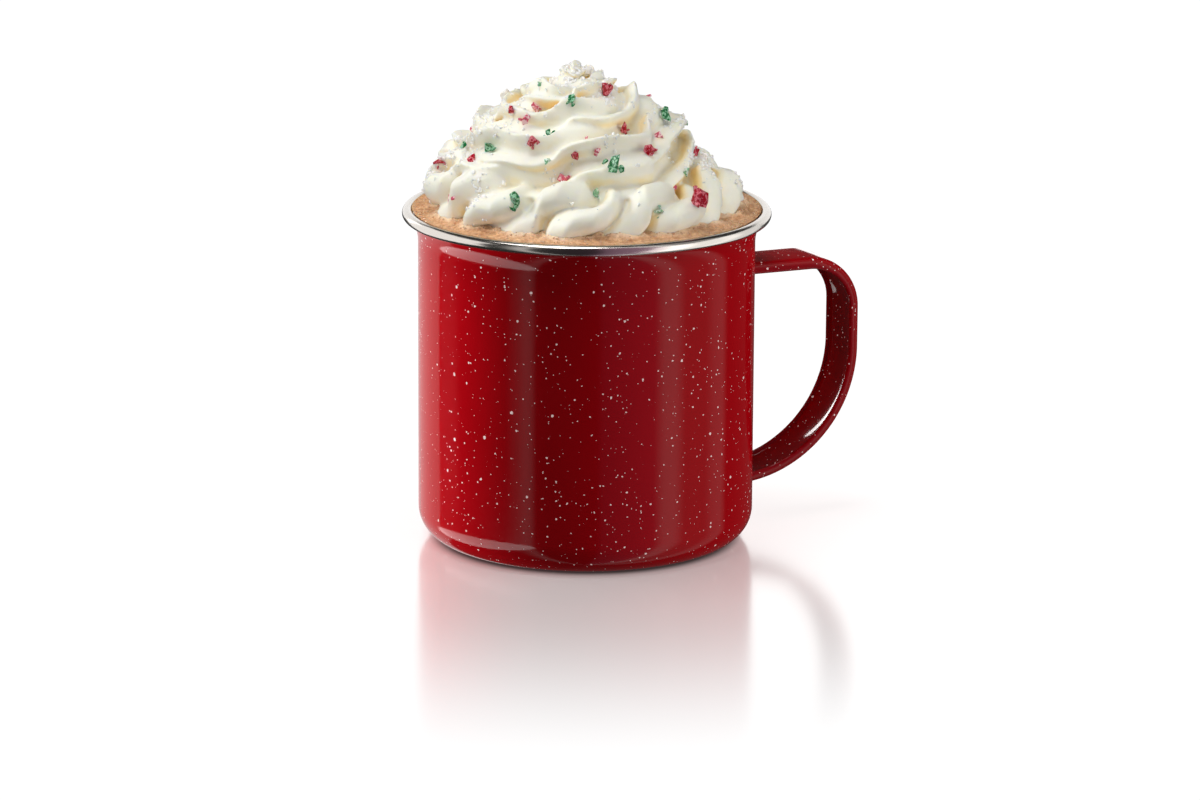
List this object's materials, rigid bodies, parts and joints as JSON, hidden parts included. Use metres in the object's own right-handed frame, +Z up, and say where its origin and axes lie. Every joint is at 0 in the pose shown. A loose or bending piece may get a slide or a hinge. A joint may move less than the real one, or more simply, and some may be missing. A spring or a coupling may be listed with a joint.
{
  "type": "mug of hot chocolate with whipped cream",
  "caption": "Speckled enamel camp mug with a strap handle and a steel lip bead, full of hot chocolate under a piped whipped cream swirl with crushed candy.",
  "frame": {"origin": "middle of the mug's flat base, on the surface that it stands on", "axes": "+Z up along the cup's axis, +X out through the middle of the handle"},
  "size_m": [0.1239, 0.0962, 0.1273],
  "materials": {
    "enamel": "glossy red enamel with fine pale speckles",
    "steel_bead": "polished stainless steel",
    "froth": "milky cocoa froth with small bubbles",
    "cream": "soft satin whipped cream",
    "candy_red": "clear boiled sugar, red",
    "candy_green": "clear boiled sugar, green",
    "candy_white": "opaque white boiled sugar"
  },
  "bodies": {
    "root": {"mug": "enamel", "rim": "steel_bead", "hot_chocolate": "froth", "whipped_cream": "cream"}
  },
  "joints": []
}
